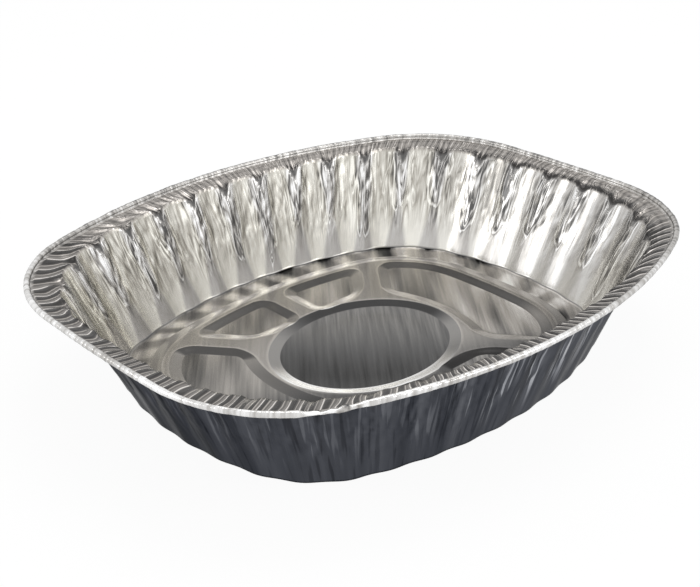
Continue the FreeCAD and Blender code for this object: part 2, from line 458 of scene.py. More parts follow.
@dataclass
class Surface:
    """Places and painted tones of one ring of points.

    Attributes:
        place: X, Y and Z of each point in millimetres.
        zone: Which zone the ring is in.
        tones: For each attribute of the mesh that the finishes read, its value at each point.
    """

    place: Array
    zone: Zone
    tones: dict[str, Amount]


# zones whose first ring isn't the last ring of the zone before
FRESH = (Zone.ROLL, Zone.FLANGE, Zone.WEB_SIDE)
# zones that have an attribute of their own name, the other attributes, and those two where no zone sets them
MASKED = (Zone.ROLL, Zone.FLANGE, Zone.WALL)
TONES = ("tone", "skirt", "fold", "crumpled", "ridge_cos", "ridge_sin", "far_side", "right_side", "cream")
PLAIN = {"skirt": 0.045, "fold": -1.0}


class Side(Enum):
    """Material slots of the sheet's upper side; the underside's finish is in the slot after each."""

    INSIDE = 0
    FLOOR = 2


def steps(zone: Zone) -> list[float]:
    """Shares of the way through a zone at which its rings lie."""
    last = RINGS[zone] - 1
    return [number / last for number in range(0 if zone in FRESH else 1, last + 1)]


class Uneven(Enum):
    """What is uneven on the sheet, each with a seeded noise of its own."""

    RIDGE_PITCH = Crumple(90, 1, 12)
    RIDGE_PLACE = Crumple(120, 2, 13)
    RIDGE_HEIGHT = Crumple(150, 3, 14)
    COARSE_WRINKLE = Crumple(180, 5, 15)
    MIDDLE_WRINKLE = Crumple(300, 9, 16)
    FINE_WRINKLE = Crumple(360, 22, 17)
    CRIMP = Crumple(720, 2, 18)
    SWELL = Crumple(110, 2, 19)
    CRUMPLED = Crumple(72, 3, 20)
    FOLD_PLACE = Crumple(36, 5, 21)
    ROLL_TONE = Crumple(48, 1, 23)
    PATCH_PLACE = Crumple(36, 1, 24)
    CRUSHED_ROLL = Crumple(320, 3, 25)
    PATCH_STRENGTH = Crumple(54, 1, 26)
    FLANGE_TONE = Crumple(90, 1, 27)


@dataclass(frozen=True)
class Paint:
    """Painted light and shade of the sheet by place, from 0 to 1, and what a place adds to it: reflections,
    highlights and shadows painted into the foil's colour.
    """

    # painted highlight along the near roll, darker on its inner side; the far roll painted darker, darkest at
    # its outer edge
    roll_near: float = 0.66
    roll_near_uneven: float = 0.16
    roll_near_inner: float = -0.28
    roll_far: float = 0.44
    roll_far_outer: float = 0.13
    # painted light and dark on the roll's crimps and its crushed stretch
    crimp: float = 0.08
    crushed: float = 1.1
    # painted shade in the flange's pockets at the creases and along a line of it, darker at the right
    flange_pocket_shade: float = -0.26
    flange_line: float = -0.12
    flange_right: float = -0.34
    # painted shade in the pockets at the top of the wall
    shaded_pocket: float = 0.12
    # painted reflections of the wall: darker at the right, lighter at its right end and low on the left,
    # lighter or darker by how each wrinkle faces, painted dark triangles at the creases by the foot, darker
    # under the flange; wall_flute differs at random from flute to flute
    wall: float = 0.83
    wall_flute: float = 0.05
    wall_right: float = -0.27
    wall_right_end: float = 0.20
    wall_slant: float = 0.45
    lower_left: float = 0.07
    triangle: float = -0.34
    triangle_right: float = 0.22
    upper: float = -0.12
    upper_far: float = -0.08
    upper_fold: float = -0.06
    # painted line of shade along the foot
    foot: float = 0.08
    # painted reflections of the flutes on the moat, as light and dark patches
    moat: float = 0.32
    moat_darkest: float = 0.14
    moat_bright: float = 0.3
    patch: float = 0.25
    patch_right: float = 0.06
    # the floor painted dark, the ground of its painted reflections
    floor: float = 0.27
    # painted dark reflection on the skirt, lighter at the creases, by how each wrinkle faces and at the right
    skirt: float = 0.074
    skirt_crease: float = 0.015
    skirt_slant: float = 0.03
    skirt_right: float = 0.07


@dataclass
class FoilSheet:
    """The whole sheet as rings of points: roll, flange, fluted wall, foot and embossed floor.

    Attributes:
        sizes: Driving sizes of the pan.
        paint: Its painted light and shade.
        stations: Points round the rim and the wall.
        floor_stations: Points round the floor's rings.
        dip: How far the flange dips at the creases between two flutes.
        ridge: Height of the flange's cross ridges.
        near_pitch: From one cross ridge to the next on the near side.
        far_pitch: The same on the far side.
        corner_pitch: The same at the two side corners.
        wrinkle: Height of the wall's wrinkles.
        fold_depth: How far a gathered fold lies inside the wall.
        pocket_depth: How far the painted shade of the pockets at the creases reaches, as a share of the wall.
        crush: Place of the crushed stretch of the roll, across the direction of rolling.
        seed: Seed of what differs from flute to flute.
    """

    sizes: PanSizes = field(default_factory=PanSizes)
    paint: Paint = field(default_factory=Paint)
    stations: int = 720
    floor_stations: int = 360
    dip: float = 3.2
    ridge: float = 0.9
    near_pitch: float = 8.5
    far_pitch: float = 5.5
    corner_pitch: float = 15.0
    wrinkle: float = 0.75
    fold_depth: float = 0.6
    pocket_depth: float = 0.12
    crush: float = -20.5
    seed: int = 11

    def __post_init__(self) -> None:
        """Work out what every ring shares."""
        self.share = np.arange(self.stations) / self.stations
        self.floor_share = np.arange(self.floor_stations) / self.floor_stations
        self.emboss = Emboss(self.sizes)
        count = self.sizes.flutes
        flute = self.share * count
        crease = np.round(flute).astype(int) % count
        self.across = 2.0 * (flute % 1.0) - 1.0
        self.beside = flute - np.round(flute)
        dice = np.random.default_rng(self.seed)
        self.tip = dice.uniform(0.62, 0.92, count)[crease]
        self.half_ridge = dice.uniform(0.20, 0.30, count)[crease]
        self.lean = dice.uniform(-0.07, 0.07, count)[crease]
        self.lobe_tone = dice.uniform(-1.0, 1.0, count)[np.floor(flute).astype(int) % count]
        place, _ = self.sizes.rim.place(self.share)
        along = place @ np.array(FAR)
        across = place @ np.array([FAR.y, -FAR.x])
        widest = np.abs(across).max()
        # places round the rim, which set where the light and shade are painted differently and where the
        # flange's ridges change pitch
        self.far_side = smooth(-60.0, 90.0, along)
        self.side_corner = smooth(0.62, 0.94, np.abs(across) / widest)
        self.right_side = smooth(0.1, 0.9, across / widest)
        self.dent = np.where(along < 0.0, smooth(21.0, 13.0, np.abs(across - self.crush)), 0.0)
        self.ridge_phase = self.make_ridge_phase()

    def uneven(self, what: Uneven, down: float = 0.0) -> Array:
        """Height of a seeded noise at each station, from -1 to 1."""
        return what.value.at(self.share, down)

    def make_ridge_phase(self) -> Array:
        """Number of ridges up to each station.

        Returns:
            The number, which grows at an uneven pitch and is whole all round.
        """
        pitch = mix(self.near_pitch, self.far_pitch, smooth(0.3, 0.9, self.far_side))
        pitch = mix(pitch, self.corner_pitch, self.side_corner)
        pitch = pitch * (1.0 + 0.4 * self.uneven(Uneven.RIDGE_PITCH))
        phase = np.cumsum(self.sizes.rim.length / self.stations / pitch)
        return phase * round(phase[-1]) / phase[-1]

    def phase(self, down: float) -> Array:
        """Phase of the flange's cross ridges in turns, whole on a crest and bent at the side corners."""
        bend = 0.8 * self.side_corner * down ** 2
        return self.ridge_phase + bend + 0.10 * self.uneven(Uneven.RIDGE_PLACE, down)

    def ridges(self, down: float) -> Array:
        """Height of the cross ridges.

        Args:
            down: Share of the way from the lip to the top of the wall.

        Returns:
            The height at each station, from 0 to 1.
        """
        phase = self.phase(down)
        valley = 2.0 * np.abs(phase - np.round(phase))
        return (1.0 - valley) ** 1.6 * (0.65 + 0.35 * self.uneven(Uneven.RIDGE_HEIGHT, down))

    def wrinkles(self, down: float) -> Array:
        """Vertical wrinkles of the wall.

        Args:
            down: Share of the way down the wall.

        Returns:
            The height at each station, from about -1 to 1.
        """
        coarse = Uneven.COARSE_WRINKLE.value.folds(self.share + 0.002 * down, down)
        middle = Uneven.MIDDLE_WRINKLE.value.folds(self.share - 0.003 * down, down)
        return 0.9 * (coarse - 0.5) + 0.7 * (middle - 0.5) + 0.35 * self.uneven(Uneven.FINE_WRINKLE, down)

    def fold(self, down: float) -> Array:
        """How far inside the gathered fold at the nearest crease each station lies, in flutes.

        Args:
            down: Share of the way down the wall; the fold closes to a round tip there.

        Returns:
            The distance, below zero outside the fold.
        """
        width = self.half_ridge * np.sqrt(np.clip(1.0 - down / self.tip, 0.0, 1.0))
        wander = 0.05 * self.uneven(Uneven.FOLD_PLACE, down)
        closed = 0.13 * smooth(-0.12, 0.06, down - self.tip)
        return width - np.abs(self.beside + self.lean * down + wander) - closed

    def triangle_shade(self, down: float) -> Array:
        """The soft triangle of painted shade at each crease, widening towards the foot, from 0 to 1."""
        width = 0.30 * np.clip((down - 0.45) / 0.55, 0.0, 1.0)
        return smooth(-0.05, 0.07, width - np.abs(self.beside)) * smooth(0.45, 0.70, down)

    def pocket_shade(self, down: float) -> Array:
        """The painted shade in each three-cornered hollow at a crease, from the flange's inner edge down,
        from 0 to 1.
        """
        width = 0.18 * (1.0 - down / self.pocket_depth)
        return smooth(-0.03, 0.03, width - np.abs(self.beside)) * float(down < self.pocket_depth)

    def cusp(self) -> Array:
        """How near each station is to a crease of the wall, from 0 to 1."""
        return smooth(0.22, 0.0, np.abs(self.beside))

    def lobe(self, step: float) -> Array:
        """How far the flutes stand out, creased at the top and rounded below.

        Args:
            step: Share of the way down the wall.

        Returns:
            From a half inwards to a half outwards at each station.
        """
        creased = 0.5 - self.across ** 2
        rounded = 0.5 * np.cos(math.pi * self.across)
        return mix(creased, rounded, min(1.0, 0.25 + 1.2 * step))

    def ring(self, place: Array, height: Amount, outward: Amount, normal: Array) -> Array:
        """Points of a ring moved outwards and set at a height."""
        moved = place + normal * np.asarray(outward)[..., None]
        return np.column_stack([moved, np.broadcast_to(height, len(moved))])

    def surface(self, points: Array, zone: Zone, step: float, **tones: Amount) -> Surface:
        """A ring of the rim or the wall, with the phase of the flange's ridges.

        Args:
            points: X, Y and Z of each point.
            zone: Which zone the ring is in.
            step: Share of the way through the zone.
            tones: Attributes that this ring sets itself.

        Returns:
            The ring.
        """
        phase = 2.0 * math.pi * self.phase(step + (1.0 if zone is Zone.WALL else 0.0))
        shared = {"far_side": self.far_side, "right_side": self.right_side}
        shared.update(ridge_cos=np.cos(phase), ridge_sin=np.sin(phase))
        return Surface(points, zone, {**PLAIN, **shared, **tones})

    def roll(self, step: float) -> Surface:
        """A ring on the rolled edge.

        Args:
            step: Share of the way from its cut edge underneath to where it meets the lip.

        Returns:
            The ring.
        """
        size = self.sizes
        paint = self.paint
        turn = 2.0 * math.pi - math.radians(size.roll_slit)
        angle = math.pi + math.radians(size.roll_entry) - turn * (1.0 - step)
        crimp = self.uneven(Uneven.CRIMP, step)
        crushed = self.uneven(Uneven.CRUSHED_ROLL, step)
        radius = size.roll_radius - 0.30 - 0.16 * crimp * smooth(0.0, 0.3, step)
        radius = radius - 0.20 * self.uneven(Uneven.SWELL, step)
        dent = self.dent * smooth(0.0, 0.2, step)
        radius = np.minimum(radius - dent * (0.6 + 1.3 * crushed), size.roll_radius)
        place, normal = size.rim.inset(size.roll_radius).place(self.share)
        height = size.height - size.roll_radius + radius * math.sin(angle)
        height = height - 1.1 * dent * np.maximum(crushed, 0.0)
        points = self.ring(place, height, radius * math.cos(angle), normal)
        # painted light on the roll: a highlight along the near side, darker on its inner side, the far side
        # darker and darkest at its outer edge, with lighter and darker crimps and crushed stretch
        inner = smooth(-0.2, -0.8, math.cos(angle))
        near = paint.roll_near + paint.roll_near_uneven * self.uneven(Uneven.ROLL_TONE)
        near = near + paint.roll_near_inner * inner
        far = mix(paint.roll_far, paint.roll_far_outer, smooth(-0.5, 0.1, math.cos(angle)))
        tone = mix(near, far, self.far_side) + paint.crimp * crimp + paint.crushed * dent * crushed
        return self.surface(points, Zone.ROLL, step, tone=tone)

    def flange(self, step: float) -> Surface:
        """A ring of the lip and the flange.

        Args:
            step: Share of the way from the lip to the edge where the wall starts.

        Returns:
            The ring.
        """
        size = self.sizes
        paint = self.paint
        lip, _ = size.rim.inset(size.lip_inset).place(self.share)
        top, top_normal = size.top.inset(size.gauge).place(self.share)
        top = top + top_normal * (size.flute_depth_top * self.lobe(0.0))[:, None]
        fall = size.flange_drop * step + self.dip * self.cusp() * step ** 2
        raised = (self.ridges(step) - 0.45) * smooth(0.0, 0.55, step)
        points = np.column_stack([mix(lip, top, step), size.lip_height - fall + self.ridge * raised])
        # painted shade on the far half of the flange: dark in the pockets at the creases, along a line, and
        # towards the right
        shaded_pocket = paint.flange_pocket_shade * self.pocket_shade(0.0) * smooth(0.6, 1.0, step)
        line = paint.flange_line * smooth(0.02, 0.0, abs(step - 0.28))
        uneven = 1.0 + 0.5 * self.uneven(Uneven.FLANGE_TONE)
        right = paint.flange_right * smooth(0.45, 1.0, step) * self.right_side * uneven
        return self.surface(points, Zone.FLANGE, step, tone=(shaded_pocket + line + right) * self.far_side)

    def wall(self, step: float) -> Surface:
        """A ring of the fluted wall.

        Args:
            step: Share of the way from under the flange down to the foot.

        Returns:
            The ring.
        """
        size = self.sizes
        top, top_normal = size.top.inset(size.gauge).place(self.share)
        foot, foot_normal = size.foot.inset(size.gauge).place(self.share)
        depth = mix(size.flute_depth_top, size.flute_depth_foot, min(1.0, 1.5 * step))
        fade = 1.0 - smooth(0.45, 0.98, step)
        start = smooth(0.0, 0.06, step)
        gather = smooth(-0.035, 0.035, self.fold(step))
        relief = self.wrinkle * self.wrinkles(step) * fade * (0.70 + 0.7 * gather) * start
        outward = depth * self.lobe(step) - self.fold_depth * gather * start * fade + relief
        upper = size.lip_height - size.flange_drop
        lower = size.foot_rise + size.gauge / 2.0
        height = mix(upper, lower, step) - self.dip * self.cusp() * (1.0 - step) ** 5
        hem = (1.0 - step) ** mix(14.0, 7.0, self.side_corner)
        height = height + self.ridge * (self.ridges(1.0 + step) - 0.45) * hem
        points = self.ring(mix(top, foot, step), height, outward, mix(top_normal, foot_normal, step))
        slant = np.roll(relief, -1) - np.roll(relief, 1)
        return self.surface(points, Zone.WALL, step, **self.wall_tones(step, slant, gather, fade, start))

    def wall_tones(
        self, step: float, slant: Array, gather: Array, fade: float, start: float,
    ) -> dict[str, Amount]:
        """Painted light and shade of a ring of the wall and its skirt, and the masks of its folds and
        crumples.

        Args:
            step: Share of the way down the wall.
            slant: How far each wrinkle faces sideways, which paints it lighter or darker.
            gather: Share of each station that lies in a gathered fold.
            fade: Strength of the crumples, which fades towards the foot.
            start: The same under the flange.

        Returns:
            The attributes that the finishes read.
        """
        paint = self.paint
        right = self.right_side
        right_end = self.side_corner * right
        low = self.triangle_shade(step)
        shaded_pocket = self.pocket_shade(step) * (1.0 - 0.4 * right)
        # painted reflections and shade of the wall: darker at the right, a dark triangle at each crease by
        # the foot, darker under the flange, lighter low on the left, lighter or darker by how each wrinkle
        # faces, lighter at the right end, and painted shade in the pockets under the flange; each lobe also
        # differs at random
        tone = paint.wall + paint.wall_flute * self.lobe_tone + paint.wall_right * right
        tone = tone + (paint.triangle + paint.triangle_right * right) * low
        tone = tone + (paint.upper + paint.upper_far * self.far_side + paint.upper_fold * gather) * fade
        tone = tone + paint.lower_left * (1.0 - right) * smooth(0.3, 1.0, step)
        tone = tone + paint.wall_slant * slant + paint.wall_right_end * right_end
        # painted dark reflection on the skirt, lighter at the creases, by how each wrinkle faces and at the
        # right
        skirt = paint.skirt + paint.skirt_crease * self.across ** 2
        skirt = skirt + paint.skirt_slant * slant + paint.skirt_right * right
        crumpled = fade * start * (0.75 + 0.25 * self.uneven(Uneven.CRUMPLED, step))
        crumpled = crumpled * mix(0.45, 1.0, smooth(0.48, 0.2, np.abs(self.beside)))
        return {
            "tone": mix(np.clip(tone, 0.03, 1.0), paint.shaded_pocket, shaded_pocket),
            "skirt": np.clip(skirt, 0.02, 1.0),
            "fold": mix(self.fold(step), -0.3, shaded_pocket),
            "crumpled": crumpled * (1.0 - 0.75 * right_end) * (1.0 - shaded_pocket),
            # where the painted yellowish reflection lies: away from the right end, off the folds and the
            # triangles
            "cream": (1.0 - right) * (1.0 - gather) * (1.0 - low),
        }

    def foot(self, step: float) -> Surface:
        """A ring of the rounded step from the wall to the floor.

        Args:
            step: Share of the way round the step.

        Returns:
            The ring, painted darkest where the step starts, as a line of shade.
        """
        size = self.sizes
        angle = step * math.pi / 2.0
        inset = size.gauge + size.foot_step * (1.0 - math.cos(angle))
        height = mix(size.foot_rise + size.gauge / 2.0, size.gauge, math.sin(angle))
        place, normal = size.foot.inset(inset).place(self.share)
        points = self.ring(place, height, size.flute_depth_foot * self.lobe(1.0), normal)
        tone = self.paint.foot if step < 0.6 else mix(self.paint.foot, self.patches(0.0), 0.3)
        return self.surface(points, Zone.FOOT, step, tone=tone)

    def patches(self, step: float) -> Array:
        """Tone of the moat, which mirrors the flutes as light and dark patches.

        Args:
            step: Share of the way from the foot to the web.

        Returns:
            Tone at each station.
        """
        paint = self.paint
        lean = 1.2 * self.uneven(Uneven.PATCH_PLACE)
        patch = np.clip(1.5 * np.cos(self.across * math.pi + 1.4 * step + lean), -1.0, 1.0)
        patch = patch * (0.75 + 0.35 * self.uneven(Uneven.PATCH_STRENGTH))
        bright = smooth(0.75, 1.0, step) * smooth(0.3, 1.0, -patch)
        strength = (paint.patch + paint.patch_right * self.right_side) * (1.0 - 0.3 * step)
        return np.maximum(paint.moat - strength * patch, paint.moat_darkest) + paint.moat_bright * bright

    def moat(self, step: float) -> Surface:
        """A ring of the flat moat.

        Args:
            step: Share of the way from the foot to the web.

        Returns:
            The ring.
        """
        size = self.sizes
        foot, foot_normal = size.foot.inset(size.gauge + size.foot_step).place(self.share)
        foot = foot + foot_normal * (size.flute_depth_foot * self.lobe(1.0))[:, None]
        web, _ = size.web.place(self.share)
        points = np.column_stack([mix(foot, web, step), np.full(len(web), size.gauge)])
        return self.surface(points, Zone.MOAT, step, tone=self.patches(step))

    def oval(self, outward: float) -> Array:
        """Points round the medallion's outline.

        Args:
            outward: How far outside the outline they lie.

        Returns:
            X and Y at each station of the floor.
        """
        first, second = self.sizes.medallion
        place, _ = self.sizes.web.place(self.floor_share)
        angle = np.arctan2(place[:, 1] / second, place[:, 0] / first)
        return np.column_stack([(first + outward) * np.cos(angle), (second + outward) * np.sin(angle)])

    def floor_place(self, zone: Zone, step: float) -> Array:
        """Points of a floor ring, before its height is known.

        Args:
            zone: Zone of the floor.
            step: Share of the way through it, inwards.

        Returns:
            X and Y at each station of the floor.
        """
        size = self.sizes
        web, _ = size.web.place(self.floor_share)
        web_top, _ = size.web.inset(size.web_slope).place(self.floor_share)
        if zone is Zone.WEB_SIDE:
            return mix(web, web_top, step)
        if zone is Zone.WEB:
            return mix(web_top, self.oval(size.medallion_slope), step)
        if zone is Zone.MEDALLION_SIDE:
            return self.oval(size.medallion_slope * (1.0 - step))
        return self.oval(0.0) * (1.0 - (1.0 - size.pole) * step)

    def floor_ring(self, zone: Zone, step: float) -> Surface:
        """A ring of the embossed floor.

        Args:
            zone: Zone of the floor.
            step: Share of the way through it, inwards.

        Returns:
            The ring.
        """
        size = self.sizes
        place = self.floor_place(zone, step)
        points = np.column_stack([place, size.gauge + size.web_height * self.emboss.rise(place)])
        # painted tone of the floor, on which its finish paints its reflections
        return Surface(points, zone, {**PLAIN, "tone": self.paint.floor})

    def wall_rings(self) -> list[Surface]:
        """Rings from the cut edge of the roll down to the web.

        Returns:
            The rings in order.
        """
        makers: dict[Zone, Callable[[float], Surface]] = {
            Zone.ROLL: self.roll,
            Zone.FLANGE: self.flange,
            Zone.WALL: self.wall,
            Zone.FOOT: self.foot,
            Zone.MOAT: self.moat,
        }
        return [maker(step) for zone, maker in makers.items() for step in steps(zone)]

    def floor_rings(self) -> list[Surface]:
        """Rings from the web's foot to the middle of the medallion."""
        zones = (Zone.WEB_SIDE, Zone.WEB, Zone.MEDALLION_SIDE, Zone.MEDALLION)
        return [self.floor_ring(zone, step) for zone in zones for step in steps(zone)]


def operator(operation: str, swapped: bool = False) -> Callable[["Value", Input], "Value"]:
    """Make the method behind an arithmetic sign.

    Args:
        operation: Operation of the Math node.
        swapped: Whether the other number stands first.

    Returns:
        The method.
    """
    def method(value: "Value", other: Input) -> "Value":
        """The result as a value."""
        return value.maths(operation, *((other, value) if swapped else (value, other)))

    return method


@dataclass
class Value:
    """A number or colour on the surface that takes part in Python expressions.

    Attributes:
        graph: The graph that it belongs to.
        socket: The output socket that gives it.
    """

    graph: "Graph"
    socket: bpy.types.NodeSocket

    def maths(self, operation: str, *values: Input) -> "Value":
        """One Math node on these values."""
        return self.graph.node("ShaderNodeMath", {"operation": operation}, *values)

    __add__ = operator("ADD")
    __radd__ = operator("ADD", swapped=True)
    __sub__ = operator("SUBTRACT")
    __rsub__ = operator("SUBTRACT", swapped=True)
    __mul__ = operator("MULTIPLY")
    __truediv__ = operator("DIVIDE")

    def __abs__(self) -> "Value":
        """Size without its sign."""
        return self.maths("ABSOLUTE", self)

    def step(self, low: float, high: float) -> "Value":
        """Ease from 0 at low to 1 at high."""
        settings = {"interpolation_type": "SMOOTHSTEP"}
        return self.graph.node("ShaderNodeMapRange", settings, self, low, high, 0.0, 1.0)


class Graph:
    """The node tree of one material or of the world."""

    def __init__(self, owner: Union[bpy.types.Material, bpy.types.World]) -> None:
        """Start an empty tree.

        Args:
            owner: The material or world that gets the nodes.
        """
        owner.use_nodes = True
        self.owner = owner
        self.tree = owner.node_tree
        self.tree.nodes.clear()

    def node(
        self,
        kind: str,
        settings: Optional[dict[str, Any]] = None,
        *values: Input,
        output: Union[int, str] = 0,
        **named: Input,
    ) -> Value:
        """Make any node.

        Args:
            kind: Type of the node.
            settings: Properties of the node, and the stops of a colour ramp, set before its sockets.
            values: Values or links of its first input sockets, in order.
            output: Which output socket to hand back.
            named: Values or links of sockets by name, with _ for a space, or by number after a _.

        Returns:
            The chosen output as a value.
        """
        made = self.tree.nodes.new(kind)
        for name, setting in (settings or {}).items():
            if name == "stops":
                self.set_stops(made.color_ramp, setting)
            else:
                setattr(made, name, setting)
        for number, value in enumerate(values):
            self.join(made.inputs[number], value)
        for name, value in named.items():
            key = int(name[1:]) if name[0] == "_" else name.replace("_", " ")
            self.join(made.inputs[key], value)
        outputs = made.outputs
        return Value(self, outputs[output]) if len(outputs) else made

    def join(self, socket: bpy.types.NodeSocket, value: Input) -> None:
        """Link a value to a socket, or set the socket to a constant.

        Args:
            socket: The input socket.
            value: The value or the constant.
        """
        if isinstance(value, Value):
            self.tree.links.new(value.socket, socket)
        else:
            socket.default_value = value

    def set_stops(self, ramp: bpy.types.ColorRamp, stops: list[tuple[float, tuple]]) -> None:
        """Give a colour ramp its stops.

        Args:
            ramp: The ramp.
            stops: Position and colour of each stop.
        """
        while len(ramp.elements) < len(stops):
            ramp.elements.new(1.0)
        for element, (position, colour) in zip(ramp.elements, stops):
            element.position = position
            element.color = (*colour, 1.0)

    def attribute(self, name: str, output: str = "Fac") -> Value:
        """An attribute of the piece."""
        return self.node("ShaderNodeAttribute", {"attribute_name": name}, output=output)

    def noise(self, place: Value, scale: float, detail: float, rough: float, bent: float = 0.0) -> Value:
        """Noise from 0 to 1 at a place.

        Args:
            place: The place on the piece.
            scale: Cells in a metre.
            detail: Finer layers on top of the first.
            rough: Strength of each layer, as a share of the one before.
            bent: How much the pattern is bent by another noise.

        Returns:
            The noise.
        """
        sizes = {"Scale": scale, "Detail": detail, "Roughness": rough, "Distortion": bent}
        return self.node("ShaderNodeTexNoise", None, Vector=place, **sizes)

    def greys(self, value: Value, stops: tuple) -> Value:
        """Number looked up by another, between stops of a position and a level."""
        return self.ramp(value, [(position, (level, level, level)) for position, level in stops])

    def blend(self, share: Input, first: Input, second: Input, kind: str = "MIX") -> Value:
        """Mix two colours."""
        settings = {"data_type": "RGBA", "blend_type": kind}
        return self.node("ShaderNodeMix", settings, _0=share, _6=first, _7=second, output=2)

    def part(self, whole: Value, number: int) -> Value:
        """Another output of the node that made a value."""
        return Value(self, whole.socket.node.outputs[number])

    def drawn(self, down: float, scale: float, detail: float, rough: float = 0.5, bent: float = 0.0) -> Value:
        """Noise on the sheet, drawn out on the way down from the rim.

        Args:
            down: Cells on the way down, as a share of those round the pan.
            scale: Cells in a metre round the pan.
            detail: Finer layers on top of the first.
            rough: Strength of each layer, as a share of the one before.
            bent: How much the pattern is bent by another noise.

        Returns:
            The noise.
        """
        sheet = self.attribute("sheet", "Vector")
        place = self.node("ShaderNodeMapping", None, Vector=sheet, Scale=(1.0, 1.0, down))
        return self.noise(place, scale, detail, rough, bent)

    def rolled(self, place: Value, longer: float, scale: float, detail: float, rough: float) -> Value:
        """Noise drawn out along the direction in which the sheet was rolled.

        Args:
            place: The place on the piece.
            longer: How many times longer than wide the pattern is.
            scale: Cells in a metre across that direction.
            detail: Finer layers on top of the first.
            rough: Strength of each layer, as a share of the one before.

        Returns:
            The noise.
        """
        turn = math.atan2(FAR.y, FAR.x) - math.pi / 2.0 + 0.06
        scaled = {"Rotation": (0.0, 0.0, turn), "Scale": (1.0, longer, 1.0)}
        place = self.node("ShaderNodeMapping", {"vector_type": "TEXTURE"}, Vector=place, **scaled)
        return self.noise(place, scale, detail, rough)

    def ramp(self, value: Value, stops: list[tuple[float, tuple]]) -> Value:
        """Colour looked up by a number."""
        return self.node("ShaderNodeValToRGB", {"stops": stops}, value)


# colours of the painted light and shade, by how light it is painted: yellowish grey for the upper side, blue
# grey for the outer side
WARM = [
    (0.0, (0.0, 0.0, 0.0)),
    (0.10, (0.101, 0.100, 0.100)),
    (0.45, (0.465, 0.450, 0.430)),
    (1.0, (1.0, 1.0, 1.0)),
]
COOL = [
    (0.0, (0.0, 0.0, 0.0)),
    (0.08, (0.074, 0.078, 0.090)),
    (0.40, (0.38, 0.39, 0.42)),
    (1.0, (1.0, 1.0, 1.0)),
]


@dataclass(frozen=True)
class Foil:
    """Bare metal foil; each side of the sheet adds its own painted light and shade.

    Attributes:
        name: Name of the material.
        roughness: How blurred its reflections are.
        edge: How brightly it mirrors at a grazing angle.
        relief: Height of its fine relief, in metres.
    """

    name: str = "foil"
    roughness: float = 0.24
    edge: float = 1.0
    relief: float = 0.0014

    def look(self, graph: Graph) -> tuple[Value, Value]:
        """Colour, and height of the fine relief in shares of its distance."""
        raise NotImplementedError

    def make(self) -> bpy.types.Material:
        """Build the material.

        Returns:
            The material.
        """
        graph = Graph(bpy.data.materials.new(self.name))
        colour, height = self.look(graph)
        bump = graph.node("ShaderNodeBump", None, Strength=0.6, Distance=self.relief, Height=height)
        tint = (self.edge, self.edge, self.edge, 1.0)
        metal = {"Metallic": 1.0, "Roughness": self.roughness, "Specular_Tint": tint, "Normal": bump}
        foil = graph.node("ShaderNodeBsdfPrincipled", None, Base_Color=colour, **metal)
        graph.node("ShaderNodeOutputMaterial", None, foil)
        return graph.owner


